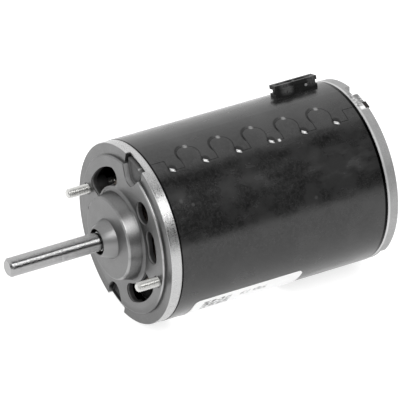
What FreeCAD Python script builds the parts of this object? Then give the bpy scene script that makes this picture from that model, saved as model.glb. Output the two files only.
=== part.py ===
import FreeCAD, Part
import math
import os

# Permanent-magnet direct-current blower motor with a rolled steel shell, two cast end
# bells, a plain round output shaft and two through bolts whose front ends are the
# mounting studs. Units are millimetres. The motor axis is Y, the output shaft points
# to -Y and +Z is up. The origin is the centre of the stud circle on the mounting face.
# Angles are measured about the axis from +X towards +Z.

os.makedirs("parts", exist_ok=True)

# Shell: one sheet rolled round and locked by a row of tongues
shell_diameter = 76.2
shell_wall = 2.6
shell_length = 96.8
shell_edge_chamfer = 0.35
seam_angle = 71.9
seam_width = 0.2
seam_depth = 0.3
tongue_count = 5
tongue_radius = 4.9
tongue_neck = 8.9
tongue_height = 10.3
first_tongue = 18.0
last_tongue_from_rear = 17.4
end_step_length = 6.6
end_step_rise = 5.5
stake_length = 3.3
stake_width = 1.0
stake_depth = 0.35
stake_offset = 5.1
stake_slant = 35.0

# Front end bell: die casting with a raised face plate and a bearing boss
band_width = 4.7
band_setback = 0.1
plate_step = 1.3
ring_face_width = 4.7
plate_thickness = 2.6
casting_edge = 0.3
spigot_clearance = 0.1
spigot_length = 3.0
spigot_wall = 2.1
boss_share = 0.5255
boss_height = 6.5
boss_draft = 0.9
boss_edge_round = 0.9
boss_foot_fillet = 1.4
plate_edge_round = 0.6
nose_radius = 8.5
nose_tip_radius = 5.9
nose_crown = 0.12
nose_height = 5.0
nose_hole_radius = 5.4
vent_share = 0.7327
kidney_share = 0.24
kidney_start = 109.5
kidney_end = 157.5
kidney_corner = 3.0
slot_share = 0.216
slot_start = 6.5
slot_end = 22.5
round_vent_share = 0.147
round_vent_angle = 48.5
notch_angle = 78.8
notch_span = 20.0
notch_lip = 2.7
notch_lip_wall = 0.9
notch_share = 0.793
notch_floor_round = 4.2
casting_round = 2.0

# Rear end bell
rear_band_width = 5.1
rear_band_setback = 0.15
rear_recess = 1.7
rear_recess_wall = 0.7
rear_recess_flare = 0.4
rear_boss_radius = 13.8
rear_boss_wall = 2.0
rear_boss_round = 1.0
rear_notches = ((82.5, 92.0), (-61.0, -39.0), (-97.5, -88.0), (119.0, 141.0))
rear_notch_lip = 2.6
rear_notch_share = 0.829
key_notch_angle = 71.75
key_notch_span = 5.2
key_notch_depth = 1.4
screw_post_radius = 3.4

# Through bolts, number 8-32 unified thread, on a circle of 2 5/16 inch: the free stud has
# the radius of the thread's crests, the shank that of the rolled thread's pitch line
bolt_radius = 2.08
bolt_shank_radius = 1.83
bolt_inset = 6.13
bolt_angle = -13.8
stud_reach = 9.5
bolt_chamfer = 0.6
thread_clearance = 0.05
bolt_hole_clearance = 0.3
countersink_radius = 2.5
countersink_depth = 0.5
bolt_boss_radius = 4.1
bolt_boss_length = 5.4
bolt_head_flats = 6.35
bolt_head_height = 3.0
washer_radius = 3.6
washer_thickness = 0.9
bolt_air_gap = 1.54

# Output shaft
shaft_radius = 3.175
shaft_reach = 52.5
shaft_chamfer = 0.6
shaft_end_room = 1.2
relief_width = 1.0
relief_depth = 0.25
relief_ahead = 0.1

# Self-aligning sleeve bearings
bearing_radius = 7.0
bearing_length = 9.0
running_clearance = 0.02
seat_clearance = 0.02
pocket_radius = 11.3
pocket_floor_offset = 1.5
pocket_wall = 2.5
front_bearing_setback = 4.0
rear_bearing_inset = 1.7
felt_clearance = 0.2
retainer_thickness = 0.6
retainer_finger = 1.6

# Armature
slot_count = 12
tooth_share = 0.2155
slot_floor_share = 0.481
tooth_tip = 1.4
slot_opening = 2.2
insulator_thickness = 0.8
slot_liner = 0.3
front_overhang = 15.9
front_coil_clearance = 4.8
coil_edge_round = 2.2
coil_tie_groove = 1.6
rear_overhang = 12.5
coil_core_share = 0.2694
end_play = 0.3
thrust_washer = 0.7
thrust_washer_radius = 5.8
spacer_radius = 5.0

# Commutator
commutator_length = 16.0
commutator_radius = 11.0
commutator_hub_radius = 8.5
riser_radius = 13.4
riser_length = 2.0
bar_gap = 0.6
commutator_stack = 4.5

# Magnets and the springs that press them apart
magnet_fit = 0.1
air_gap = 0.6
magnet_front_clearance = 3.2
magnet_rear_clearance = 1.3
magnet_half_arc = 68.0
magnet_angle = 76.2
magnet_chamfer = 1.0
spring_sheet = 0.6
spring_clearance = 0.8
spring_leg = 6.5
spring_margin = 8.0

# Brush gear
card_thickness = 2.0
card_clearance = 0.7
card_bore_radius = 12.0
brush_width = 6.35
brush_axial = 8.0
brush_length = 10.0
brush_clearance = 0.05
brush_gap = 0.3
brush_spring_length = 6.0
brush_from_riser = 3.4
holder_wall = 0.6
holder_start = 2.0
holder_leg = 4.0
coil_wire_radius = 0.28
coil_wire_sides = 6
coil_radius = 2.3
coil_turns = 4.5
shunt_radius = 0.5
card_screw_radius = 1.5
card_screw_head_radius = 2.9
card_screw_head = 1.8
card_screw_circle = 22.5
card_screw_angle = 30.0
card_screw_length = 5.0
key_width = 3.0
key_depth = 2.2
key_clearance = 0.15
key_stand = 0.4

# Connector moulded to stand in a slot of the shell
connector_angle = 107.2
connector_length = 19.8
connector_width = 3.6
connector_height = 4.8
connector_from_rear = 25.3
connector_lip = 0.5
connector_neck_length = 16.6
connector_waist_start = 1.4
connector_waist_end = 3.2
connector_inner_reach = 4.3
connector_clearance = 0.1
connector_lobe_radius = 4.6
connector_lobe_offset = 5.3
socket_depth = 3.4
socket_width = 1.9
blade_thickness = 0.8
blade_width = 6.3
blade_pitch = 8.5
blade_recess = 0.6
blade_tail = 2.5
blade_tail_width = 3.0
blade_tip = 0.8
tang_radius = 0.6
tang_drop = 2.9
tang_offset = 0.5
tang_stand = 0.25
lead_radius = 0.8
lead_track_clearance = 1.3
lead_turn = 6.0
lead_track_start = 10.0
lead_track_end = 258.0
lead_joint_rise = 2.5
lead_joint_setback = 2.0

# Rating label, left plain
label_thickness = 0.15
label_start = 9.3
label_from_rear = 36.8
label_top_angle = -30.0
label_span = 57.0
label_corner = 2.5

# Worked-out places
shell_radius = shell_diameter / 2
shell_inner = shell_radius - shell_wall
shell_front = plate_step + band_width
shell_rear = shell_front + shell_length
band_radius = shell_radius - band_setback
plate_radius = band_radius - ring_face_width
boss_radius = plate_radius * boss_share
vent_mid_radius = plate_radius * vent_share
kidney_width = plate_radius * kidney_share
slot_width = plate_radius * slot_share
round_vent_radius = plate_radius * round_vent_share
notch_inner_radius = plate_radius * notch_share
notch_lip_inner = band_radius - notch_lip_wall
rear_band_radius = shell_radius - rear_band_setback
rear_notch_inner = plate_radius * rear_notch_share
bolt_circle_radius = shell_inner - bolt_inset
tongue_pitch = (shell_length - first_tongue - last_tongue_from_rear) / (tongue_count - 1)
label_length = shell_length - label_start - label_from_rear
spigot_radius = shell_inner - spigot_clearance
spigot_inner = spigot_radius - spigot_wall
front_bearing_y = front_bearing_setback - boss_height
rear_bearing_y = shell_rear + rear_bearing_inset
rear_face = shell_rear + rear_band_width
rear_plate_face = rear_face - rear_recess
rear_plate_inner = rear_plate_face - plate_thickness
seat_radius = bearing_radius + seat_clearance
seat_depth = math.sqrt(seat_radius ** 2 - nose_hole_radius ** 2)
seat_mouth = math.sqrt(seat_radius ** 2 - pocket_floor_offset ** 2)
seat_mid_angle = math.degrees(math.asin(pocket_floor_offset / seat_radius)
                              + math.asin(seat_depth / seat_radius)) / 2
retainer_inner = math.sqrt(bearing_radius ** 2 - (bearing_length / 2 - retainer_finger) ** 2)
shaft_end = rear_bearing_y + bearing_length / 2 + shaft_end_room
core_radius = bolt_circle_radius - bolt_shank_radius - bolt_air_gap
tooth_width = core_radius * tooth_share
slot_floor_radius = core_radius * slot_floor_share
coil_core_radius = core_radius * coil_core_share
magnet_inner = core_radius + air_gap
magnet_outer = shell_inner - magnet_fit
front_flat = front_bearing_y + bearing_length / 2
rear_flat = rear_bearing_y - bearing_length / 2
commutator_end = rear_flat - commutator_stack
commutator_front = commutator_end - commutator_length
core_rear = commutator_front - rear_overhang - insulator_thickness
spigot_end = shell_front + spigot_length
coil_front = plate_thickness + front_coil_clearance
core_front = coil_front + front_overhang + insulator_thickness
magnet_front = spigot_end + magnet_front_clearance
magnet_rear = commutator_front - magnet_rear_clearance
card_rear = shell_rear - spigot_length
card_front = card_rear - card_thickness
brush_y = commutator_front + riser_length + brush_from_riser + brush_axial / 2
brush_inner = commutator_radius + brush_gap
brush_outer = brush_inner + brush_length
holder_inner = commutator_radius + holder_start
holder_cap = brush_outer + brush_spring_length
half_cavity_x = brush_width / 2 + brush_clearance
half_cavity_y = brush_axial / 2 + brush_clearance
half_holder_x = half_cavity_x + holder_wall
half_holder_y = half_cavity_y + holder_wall
bolt_angles = (bolt_angle, bolt_angle + 180)
connector_y0 = shell_rear - connector_from_rear
connector_mid = connector_y0 + connector_length / 2
blade_centres = (connector_mid - blade_pitch / 2, connector_mid + blade_pitch / 2)

AXIS = FreeCAD.Vector(0, 1, 0)
ORIGIN = FreeCAD.Vector(0, 0, 0)


def vec(x, y, z):
    return FreeCAD.Vector(x, y, z)


def polar(radius, degrees, y):
    """Point at a radius and an angle about the motor axis."""
    angle = math.radians(degrees)
    return vec(radius * math.cos(angle), y, radius * math.sin(angle))


def swung(shape, degrees):
    """Copy of a shape built at angle 0, moved round the axis to another angle."""
    copy = shape.copy()
    copy.rotate(ORIGIN, AXIS, -degrees)
    return copy


def disc(radius, y_start, y_end):
    return Part.makeCylinder(radius, y_end - y_start, vec(0, y_start, 0), AXIS)


def tube(outer, inner, y_start, y_end):
    return disc(outer, y_start, y_end).cut(disc(inner, y_start, y_end))


def peg(radius, circle_radius, degrees, y_start, y_end):
    """Cylinder parallel to the motor axis."""
    return Part.makeCylinder(radius, y_end - y_start, polar(circle_radius, degrees, y_start), AXIS)


def block(x_start, x_end, y_start, y_end, z_start, z_end):
    size = (x_end - x_start, y_end - y_start, z_end - z_start)
    return Part.makeBox(size[0], size[1], size[2], vec(x_start, y_start, z_start))


def turned(outline, degrees=360):
    """Solid of revolution. Each entry is a point (r, y), or a curve (r, y through, r, y)."""
    start = outline[0]
    edges = []
    for item in outline[1:] + [outline[0]]:
        end = item[-2:]
        if len(item) == 4:
            through = vec(item[0], item[1], 0)
            edges.append(Part.Arc(vec(*start, 0), through, vec(*end, 0)).toShape())
        else:
            edges.append(Part.makeLine(vec(*start, 0), vec(*end, 0)))
        start = end
    return Part.Face(Part.Wire(edges)).revolve(ORIGIN, AXIS, degrees)


def sector(inner, outer, start, end, y_start, y_end):
    """Block bounded by two radii and two angles."""
    middle = (start + end) / 2
    corners = [polar(outer, start, y_start), polar(outer, end, y_start),
               polar(inner, end, y_start), polar(inner, start, y_start)]
    edges = [
        Part.Arc(corners[0], polar(outer, middle, y_start), corners[1]).toShape(),
        Part.makeLine(corners[1], corners[2]),
        Part.Arc(corners[2], polar(inner, middle, y_start), corners[3]).toShape(),
        Part.makeLine(corners[3], corners[0]),
    ]
    return Part.Face(Part.Wire(edges)).extrude(vec(0, y_end - y_start, 0))


def corner_arc(centre_r, centre_y, radius, degrees):
    """Point on a rounded corner of a turned outline."""
    angle = math.radians(degrees)
    return (centre_r + radius * math.cos(angle), centre_y + radius * math.sin(angle))


def fused(shapes):
    return shapes[0].multiFuse(shapes[1:]).removeSplitter()


# Motor shell

def seam_region(growth):
    """The lower edge of the sheet with its tongues, as a slab across the wall."""
    base = -tongue_height / 2
    centre = tongue_height / 2 - tongue_radius
    top = shell_radius + 1
    depth = shell_wall + 2
    region = [block(top - depth, top, shell_front - 1, shell_rear + 1, base - 4, base + growth)]
    step_end = end_step_length + growth
    step_top = base + end_step_rise + growth
    region.append(block(top - depth, top, shell_front - 1, shell_front + step_end, base - 1, step_top))
    region.append(block(top - depth, top, shell_rear - step_end, shell_rear + 1, base - 1, step_top))
    for index in range(tongue_count):
        y = shell_front + first_tongue + index * tongue_pitch
        half_neck = tongue_neck / 2 + growth
        region.append(Part.makeCylinder(tongue_radius + growth, depth, vec(top - depth, y, centre),
                                        vec(1, 0, 0)))
        region.append(block(top - depth, top, y - half_neck, y + half_neck, base - 1, centre))
    return fused(region)


def motor_shell():
    shell = tube(shell_radius, shell_inner, shell_front, shell_rear)
    rims = [edge for edge in shell.Edges
            if isinstance(edge.Curve, Part.Circle) and abs(edge.Curve.Radius - shell_radius) < 0.01]
    shell = shell.makeChamfer(shell_edge_chamfer, rims)
    seam = seam_region(seam_width / 2).cut(seam_region(-seam_width / 2))
    skin = tube(shell_radius + 1, shell_radius - seam_depth, shell_front - 2, shell_rear + 2)
    shell = shell.cut(swung(seam.common(skin), seam_angle))
    stake_radius = (stake_length ** 2 / 4 + stake_depth ** 2) / (2 * stake_depth)
    base = -tongue_height / 2
    stakes = []
    for index in range(-1, tongue_count):
        y = shell_front + first_tongue + index * tongue_pitch + stake_offset
        surface = math.sqrt(shell_radius ** 2 - base ** 2)
        stake = Part.makeCylinder(stake_radius, stake_width,
                                  vec(surface - stake_depth + stake_radius, y, base - stake_width / 2),
                                  vec(0, 0, 1))
        stake.rotate(vec(0, y, base), vec(1, 0, 0), -stake_slant)
        stakes.append(stake)
    shell = shell.cut([swung(stake, seam_angle) for stake in stakes])
    half_slot = connector_width / 2 + connector_clearance
    half_neck = connector_neck_length / 2 + connector_clearance
    window = block(shell_inner - 2, shell_radius + 2, connector_mid - half_neck,
                   connector_mid + half_neck, -half_slot, half_slot)
    return shell.cut(swung(window, connector_angle))


# Front end bell

def kidney_vent(y_start, y_end):
    """Curved vent with one full round end and one square end with a rounded outer corner."""
    inner = vent_mid_radius - kidney_width / 2
    outer = vent_mid_radius + kidney_width / 2
    body = sector(inner, outer, kidney_start, kidney_end, y_start, y_end)
    corner = polar(outer, kidney_end, (y_start + y_end) / 2)
    square = [edge for edge in body.Edges if (edge.CenterOfMass - corner).Length < 0.1]
    body = body.makeFillet(kidney_corner, square)
    return fused([body, peg(kidney_width / 2, vent_mid_radius, kidney_start, y_start, y_end)])


def slot_vent(y_start, y_end):
    inner = vent_mid_radius - slot_width / 2
    outer = vent_mid_radius + slot_width / 2
    return fused([
        sector(inner, outer, slot_start, slot_end, y_start, y_end),
        peg(slot_width / 2, vent_mid_radius, slot_start, y_start, y_end),
        peg(slot_width / 2, vent_mid_radius, slot_end, y_start, y_end),
    ])


def rim_notch():
    """Opening through the plate's edge, splayed and round at its floor; a thin lip closes it."""
    half = band_radius * math.sin(math.radians(notch_span / 2))
    beyond = band_radius + 2
    bend = notch_floor_round
    centre = notch_inner_radius + bend
    reach = math.hypot(plate_radius - centre, half)
    turn = math.atan2(half, plate_radius - centre) + math.acos(bend / reach)
    touch_x = centre + bend * math.cos(turn)
    touch_z = bend * math.sin(turn)
    outline = [(beyond, -half), (plate_radius, -half), (touch_x, -touch_z), (touch_x, touch_z),
               (plate_radius, half), (beyond, half), (beyond, -half)]
    mouth = Part.Face(Part.makePolygon([vec(x, -1, z) for x, z in outline]))
    depth = shell_front - notch_lip + 1
    opening = mouth.extrude(vec(0, depth, 0))
    floor = Part.makeCylinder(bend, depth, vec(centre, -1, 0), vec(0, 1, 0))
    within_lip = Part.makeCylinder(notch_lip_inner, spigot_end + 3, vec(0, -1.5, 0), vec(0, 1, 0))
    throat = mouth.extrude(vec(0, spigot_end + 2, 0)).common(within_lip)
    return fused([opening, floor, throat])


def front_end_bell():
    foot = boss_radius + boss_draft
    fillet_end = foot + boss_foot_fillet
    boss_face = -boss_height
    tip = boss_face - nose_height
    seat_y = front_bearing_y - seat_depth
    floor_y = front_bearing_y - pocket_floor_offset
    seat_through = corner_arc(0, front_bearing_y, seat_radius, -seat_mid_angle)
    inside_round = casting_round
    boss_edge = boss_edge_round
    plate_edge = plate_edge_round
    casting = turned([
        (nose_hole_radius, tip),
        (nose_tip_radius, tip),
        ((nose_tip_radius + nose_radius) / 2 + nose_crown, (tip + boss_face) / 2 - nose_crown,
         nose_radius, boss_face),
        (boss_radius - boss_edge, boss_face),
        corner_arc(boss_radius - boss_edge, boss_face + boss_edge, boss_edge, -45)
        + (boss_radius, boss_face + boss_edge),
        (foot, -boss_foot_fillet),
        corner_arc(fillet_end, -boss_foot_fillet, boss_foot_fillet, 135) + (fillet_end, 0),
        (plate_radius - plate_edge, 0),
        corner_arc(plate_radius - plate_edge, plate_edge, plate_edge, -45)
        + (plate_radius, plate_edge),
        (plate_radius, plate_step),
        (band_radius - casting_edge, plate_step),
        (band_radius, plate_step + casting_edge),
        (band_radius, shell_front),
        (spigot_radius, shell_front),
        (spigot_radius, spigot_end),
        (spigot_inner, spigot_end),
        (spigot_inner, plate_thickness + inside_round),
        corner_arc(spigot_inner - inside_round, plate_thickness + inside_round, inside_round, -45)
        + (spigot_inner - inside_round, plate_thickness),
        (pocket_radius, plate_thickness),
        (pocket_radius, floor_y),
        (seat_mouth, floor_y),
        seat_through + (nose_hole_radius, seat_y),
    ])
    bosses = [peg(bolt_boss_radius, bolt_circle_radius, angle, plate_thickness / 2,
                  plate_thickness + bolt_boss_length) for angle in bolt_angles]
    casting = fused([casting] + bosses)
    above = -1
    below = spigot_end + 1
    vents = [kidney_vent(above, plate_thickness + 1), slot_vent(above, plate_thickness + 1),
             peg(round_vent_radius, vent_mid_radius, round_vent_angle, above, plate_thickness + 1)]
    notch = swung(rim_notch(), notch_angle)
    cuts = []
    for half_turn in (0, 180):
        cuts += [swung(vent, half_turn) for vent in vents]
        cuts.append(swung(notch, half_turn))
    for angle in bolt_angles:
        cuts.append(peg(bolt_shank_radius + thread_clearance, bolt_circle_radius, angle, above, below))
        cuts.append(peg(countersink_radius, bolt_circle_radius, angle, above, countersink_depth))
    return casting.cut(cuts)


# Rear end bell

def rear_end_bell():
    seat_y = rear_bearing_y + seat_depth
    floor_y = rear_bearing_y + pocket_floor_offset
    boss_end = shaft_end + 1 + rear_boss_wall
    cavity_end = shaft_end + 1
    mouth = card_rear + 0.2
    boss_round = rear_boss_round
    recess_radius = spigot_inner + rear_recess_wall
    seat_through = corner_arc(0, rear_bearing_y, seat_radius, seat_mid_angle)
    casting = turned([
        (0, boss_end),
        (rear_boss_radius - boss_round, boss_end),
        corner_arc(rear_boss_radius - boss_round, boss_end - boss_round, boss_round, 45)
        + (rear_boss_radius, boss_end - boss_round),
        (rear_boss_radius + casting_edge, rear_plate_face),
        (recess_radius, rear_plate_face),
        (recess_radius + rear_recess_flare, rear_face),
        (rear_band_radius - casting_edge, rear_face),
        (rear_band_radius, rear_face - casting_edge),
        (rear_band_radius, shell_rear),
        (spigot_radius, shell_rear),
        (spigot_radius, card_rear),
        (spigot_inner, card_rear),
        (spigot_inner, rear_plate_inner),
        (pocket_radius + pocket_wall, rear_plate_inner),
        (pocket_radius + pocket_wall, mouth),
        (pocket_radius, mouth),
        (pocket_radius, floor_y),
        (seat_mouth, floor_y),
        seat_through + (nose_hole_radius, seat_y),
        (nose_hole_radius, cavity_end),
        (0, cavity_end),
    ])
    posts = [peg(screw_post_radius, card_screw_circle, angle, card_rear, rear_plate_inner + 1)
             for angle in (card_screw_angle, card_screw_angle + 180)]
    casting = fused([casting] + posts)
    lip = shell_rear + rear_notch_lip
    beyond = rear_face + 1
    cuts = []
    key_half = key_notch_span / 2
    for start, end in rear_notches:
        cuts.append(sector(rear_notch_inner, spigot_inner, start, end, rear_plate_inner - 1, beyond))
        cuts.append(sector(spigot_inner - 0.5, rear_band_radius + 1, start, end, lip, beyond))
    start = key_notch_angle - key_half
    end = key_notch_angle + key_half
    cuts.append(sector(spigot_inner - key_depth - 0.4, spigot_inner, start, end,
                       rear_plate_inner - 1, beyond))
    cuts.append(sector(spigot_inner - 0.5, rear_band_radius + 1, start, end,
                       rear_face - key_notch_depth, beyond))
    for angle in bolt_angles:
        cuts.append(peg(bolt_radius + bolt_hole_clearance, bolt_circle_radius, angle,
                        rear_plate_inner - 1, beyond))
    for angle in (card_screw_angle, card_screw_angle + 180):
        cuts.append(peg(card_screw_radius, card_screw_circle, angle, card_rear - 1,
                        card_rear + card_screw_length))
    return casting.cut(cuts)


# Through bolts and their washers

def through_bolt():
    tip = -stud_reach
    under_head = rear_plate_face + washer_thickness
    shank = turned([
        (0, tip),
        (bolt_radius - bolt_chamfer, tip),
        (bolt_radius, tip + bolt_chamfer),
        (bolt_radius, 0),
        (bolt_shank_radius, bolt_radius - bolt_shank_radius),
        (bolt_shank_radius, under_head),
        (0, under_head),
    ])
    shank.translate(vec(bolt_circle_radius, 0, 0))
    corner = bolt_head_flats / math.sqrt(3)
    points = [vec(bolt_circle_radius + corner * math.cos(math.radians(60 * k)), under_head,
                  corner * math.sin(math.radians(60 * k))) for k in range(7)]
    head = Part.Face(Part.makePolygon(points)).extrude(vec(0, bolt_head_height, 0))
    return fused([shank, head])


def bolt_washer():
    ring = tube(washer_radius, bolt_radius + thread_clearance, rear_plate_face,
                rear_plate_face + washer_thickness)
    split = block(0, washer_radius + 1, rear_plate_face - 1, rear_plate_face + 2, -0.3, 0.3)
    ring = ring.cut(split)
    ring.translate(vec(bolt_circle_radius, 0, 0))
    return ring


# Bearings, oil felts and retainers

def sleeve_bearing(centre):
    ball = Part.makeSphere(bearing_radius, vec(0, centre, 0))
    half = bearing_length / 2
    return ball.common(disc(bearing_radius + 1, centre - half, centre + half)).cut(
        disc(shaft_radius + running_clearance, centre - half, centre + half))


def oil_felt(centre, inward):
    """Felt ring round the bearing, between the pocket floor and the retainer."""
    floor_y = centre - inward * pocket_floor_offset
    top_y = centre + inward * (bearing_length / 2 - retainer_finger)
    low, high = sorted((floor_y, top_y))
    return tube(pocket_radius, bearing_radius + felt_clearance, low, high)


def bearing_retainer(centre, inward):
    """Dished sheet disc pressed into the pocket, its fingers bearing on the ball."""
    start = centre + inward * (bearing_length / 2 - retainer_finger)
    end = start + inward * retainer_thickness
    low, high = sorted((start, end))
    plate = tube(pocket_radius, retainer_inner, low, high)
    slits = []
    for index in range(6):
        slits.append(swung(block(retainer_inner - 1, pocket_radius - 2, low - 1, high + 1, -0.5, 0.5),
                           index * 60))
    return plate.cut(slits)


# Armature

def slot_half_width(radius, liner):
    half_pitch = math.radians(180 / slot_count)
    return radius * math.tan(half_pitch) - tooth_width / 2 / math.cos(half_pitch) - liner


def slot_prism(y_start, y_end, liner, with_opening):
    inner = slot_floor_radius + liner
    outer = core_radius - tooth_tip - liner
    floor_half = max(slot_half_width(inner, liner), 0.3)
    outer_half = slot_half_width(outer, liner)
    points = [vec(inner, y_start, -floor_half), vec(outer, y_start, -outer_half)]
    if with_opening:
        mouth = slot_opening / 2
        points += [vec(outer, y_start, -mouth), vec(core_radius + 1, y_start, -mouth),
                   vec(core_radius + 1, y_start, mouth), vec(outer, y_start, mouth)]
    points += [vec(outer, y_start, outer_half), vec(inner, y_start, floor_half)]
    points.append(points[0])
    return Part.Face(Part.makePolygon(points)).extrude(vec(0, y_end - y_start, 0))


def slot_ring(y_start, y_end, liner, with_opening):
    prism = slot_prism(y_start, y_end, liner, with_opening)
    return [swung(prism, index * 360 / slot_count) for index in range(slot_count)]


def armature_core():
    stack = tube(core_radius, shaft_radius, core_front, core_rear)
    return stack.cut(slot_ring(core_front - 1, core_rear + 1, 0, True))


def core_insulators():
    discs = []
    for low, high in ((core_front - insulator_thickness, core_front),
                      (core_rear, core_rear + insulator_thickness)):
        ring = tube(core_radius - 0.4, shaft_radius, low, high)
        discs.append(ring.cut(slot_ring(low - 1, high + 1, 0, True)))
    return discs


def armature_winding():
    """Coil sides in the slots, joined by the bundled end turns at each end of the core."""
    front_face = core_front - insulator_thickness
    rear_face_y = core_rear + insulator_thickness
    outer = core_radius - tooth_tip - 0.6
    waist = slot_floor_radius - 1
    edge = coil_edge_round
    front = turned([
        (coil_core_radius, front_face),
        (coil_core_radius, coil_front + 3),
        (coil_core_radius + 1, coil_front + 0.5, coil_core_radius + 3.5, coil_front),
        (outer - edge, coil_front),
        corner_arc(outer - edge, coil_front + edge, edge, -45) + (outer, coil_front + edge),
        (outer, front_face),
    ])
    rear_end = rear_face_y + rear_overhang
    rear = turned([
        (coil_core_radius, rear_face_y),
        (outer, rear_face_y),
        (outer, rear_end - 7),
        (outer - 1.2, rear_end - 3.5, outer - 5, rear_end - 2),
        (waist + 1, rear_end - 1),
        (waist + 1, rear_end),
        (coil_core_radius, rear_end),
    ])
    bars = slot_ring(front_face - 0.5, rear_face_y + 0.5, slot_liner, False)
    winding = fused([front, rear] + bars)
    grooves = []
    for index in range(slot_count):
        angle = (index + 0.5) * 360 / slot_count
        for low, high in ((front_face - front_overhang / 2, front_face), (rear_face_y, rear_end)):
            grooves.append(peg(coil_tie_groove, outer + coil_tie_groove / 2, angle, low, high))
    return winding.cut(grooves)


def commutator_hub():
    return tube(commutator_hub_radius, shaft_radius, commutator_front, commutator_end)


def commutator_bars():
    ring = turned([
        (commutator_hub_radius, commutator_front),
        (riser_radius, commutator_front),
        (riser_radius, commutator_front + riser_length),
        (commutator_radius, commutator_front + riser_length),
        (commutator_radius, commutator_end - 0.3),
        (commutator_radius - 0.3, commutator_end),
        (commutator_hub_radius, commutator_end),
    ])
    gaps = [swung(block(commutator_hub_radius - 1, riser_radius + 1, commutator_front - 1,
                        commutator_end + 1, -bar_gap / 2, bar_gap / 2), index * 360 / slot_count)
            for index in range(slot_count)]
    return ring.cut(gaps).Solids


def shaft():
    """Round bar with a grinding relief behind the fan seat, just in front of the nose."""
    chamfer = shaft_chamfer
    relief_start = -boss_height - nose_height - relief_ahead
    relief_radius = shaft_radius - relief_depth
    return turned([
        (0, -shaft_reach),
        (shaft_radius - chamfer, -shaft_reach),
        (shaft_radius, chamfer - shaft_reach),
        (shaft_radius, relief_start),
        (relief_radius, relief_start),
        (relief_radius, relief_start + relief_width),
        (shaft_radius, relief_start + relief_width),
        (shaft_radius, shaft_end - chamfer),
        (shaft_radius - chamfer, shaft_end),
        (0, shaft_end),
    ])


def front_spacer():
    start = front_flat + end_play + thrust_washer
    return tube(spacer_radius, shaft_radius, start, core_front - insulator_thickness)


def rear_spacer():
    end = rear_flat - end_play - thrust_washer
    return tube(spacer_radius, shaft_radius, commutator_end, end)


def thrust_washers():
    front = front_flat + end_play
    rear = rear_flat - end_play
    return [tube(thrust_washer_radius, shaft_radius, front, front + thrust_washer),
            tube(thrust_washer_radius, shaft_radius, rear - thrust_washer, rear)]


# Magnets

def magnet(angle):
    start = angle - magnet_half_arc
    end = angle + magnet_half_arc
    body = turned([
        (magnet_inner + magnet_chamfer, magnet_front),
        (magnet_outer, magnet_front),
        (magnet_outer, magnet_rear),
        (magnet_inner + magnet_chamfer, magnet_rear),
        (magnet_inner, magnet_rear - magnet_chamfer),
        (magnet_inner, magnet_front + magnet_chamfer),
    ], end - start)
    return swung(body, end)


def magnet_spring(angle):
    """Sprung channel between two magnets: its back on the shell, a leg on each magnet end."""
    half_gap = 90 - magnet_half_arc
    clear = math.degrees(spring_clearance / magnet_outer)
    sheet = math.degrees(spring_sheet / magnet_outer)
    outer = half_gap - clear
    inner = outer - sheet
    start = magnet_front + spring_margin
    end = magnet_rear - spring_margin
    back = sector(magnet_outer - spring_sheet, magnet_outer, angle - outer, angle + outer, start, end)
    legs = [sector(magnet_outer - spring_leg, magnet_outer, low, high, start, end)
            for low, high in ((angle - outer, angle - inner), (angle + inner, angle + outer))]
    return fused([back] + legs)


# Brush gear

def brush():
    bar = block(-brush_width / 2, brush_width / 2, brush_y - brush_axial / 2,
                brush_y + brush_axial / 2, 0, brush_outer)
    return bar.cut(disc(brush_inner, brush_y - brush_axial, brush_y + brush_axial)).common(
        block(-brush_width, brush_width, 0, shell_rear, commutator_radius / 2, brush_outer))


def brush_holder():
    case = block(-half_holder_x, half_holder_x, brush_y - half_holder_y, brush_y + half_holder_y,
                 holder_inner, holder_cap + holder_wall)
    cavity = block(-half_cavity_x, half_cavity_x, brush_y - half_cavity_y, brush_y + half_cavity_y,
                   holder_inner - 1, holder_cap)
    middle = (holder_inner + holder_cap) / 2
    legs = [block(side - holder_wall / 2, side + holder_wall / 2, brush_y + half_holder_y - 1,
                  card_front, middle - holder_leg / 2, middle + holder_leg / 2)
            for side in (-half_holder_x + holder_wall / 2, half_holder_x - holder_wall / 2)]
    return fused([case] + legs).cut(cavity)


def brush_spring():
    height = brush_spring_length - 2 * coil_wire_radius
    bottom = brush_outer + coil_wire_radius
    helix = Part.makeHelix(height / coil_turns, height, coil_radius)
    corners = [math.radians(360 * k / coil_wire_sides) for k in range(coil_wire_sides + 1)]
    section = Part.makePolygon([vec(coil_radius + coil_wire_radius * math.cos(corner), 0,
                                    coil_wire_radius * math.sin(corner)) for corner in corners])
    coil = Part.Wire(helix.Edges).makePipeShell([section], True, True)
    coil.translate(vec(0, brush_y, bottom))
    return Part.Solid(coil) if coil.ShapeType == "Shell" else coil


def brush_shunt():
    return Part.makeCylinder(shunt_radius, brush_spring_length, vec(0, brush_y, brush_outer),
                             vec(0, 0, 1))


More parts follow.
